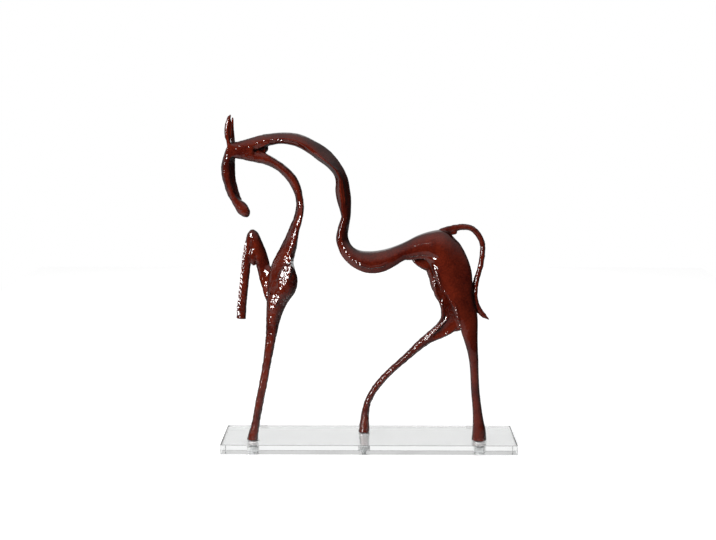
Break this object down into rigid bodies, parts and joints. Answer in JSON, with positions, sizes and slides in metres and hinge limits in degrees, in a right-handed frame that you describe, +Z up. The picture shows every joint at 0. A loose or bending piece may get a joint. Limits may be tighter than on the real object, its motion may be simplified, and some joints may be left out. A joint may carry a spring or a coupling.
{
  "type": "horse figurine",
  "caption": "Abstract horse figurine with slim curved limbs, an open arched neck and a raised foreleg, standing on a clear rectangular plate.",
  "frame": {"origin": "centre of the clear plate's underside, where the figurine stands", "axes": "+Z up; -X towards the horse's nose, along the plate's long side; -Y towards the pictured side of the horse"},
  "size_m": [0.3, 0.08, 0.3398],
  "materials": {
    "horse_lacquer": "glossy ox-blood red-brown lacquer over a lightly hammered casting",
    "clear_plate": "clear acrylic with polished edges",
    "zinc_steel": "bright zinc plating"
  },
  "bodies": {
    "root": {"base_plate": "clear_plate", "front_foot_washer": "zinc_steel", "middle_foot_washer": "zinc_steel", "rear_foot_washer": "zinc_steel", "front_foot_screw": "zinc_steel", "middle_foot_screw": "zinc_steel", "rear_foot_screw": "zinc_steel", "head": "horse_lacquer", "near_ear": "horse_lacquer", "far_ear": "horse_lacquer", "crest_band": "horse_lacquer", "throat_band": "horse_lacquer", "back_band": "horse_lacquer", "near_foreleg": "horse_lacquer", "raised_foreleg": "horse_lacquer", "near_hind_leg": "horse_lacquer", "far_hind_leg": "horse_lacquer", "tail": "horse_lacquer"}
  },
  "joints": []
}
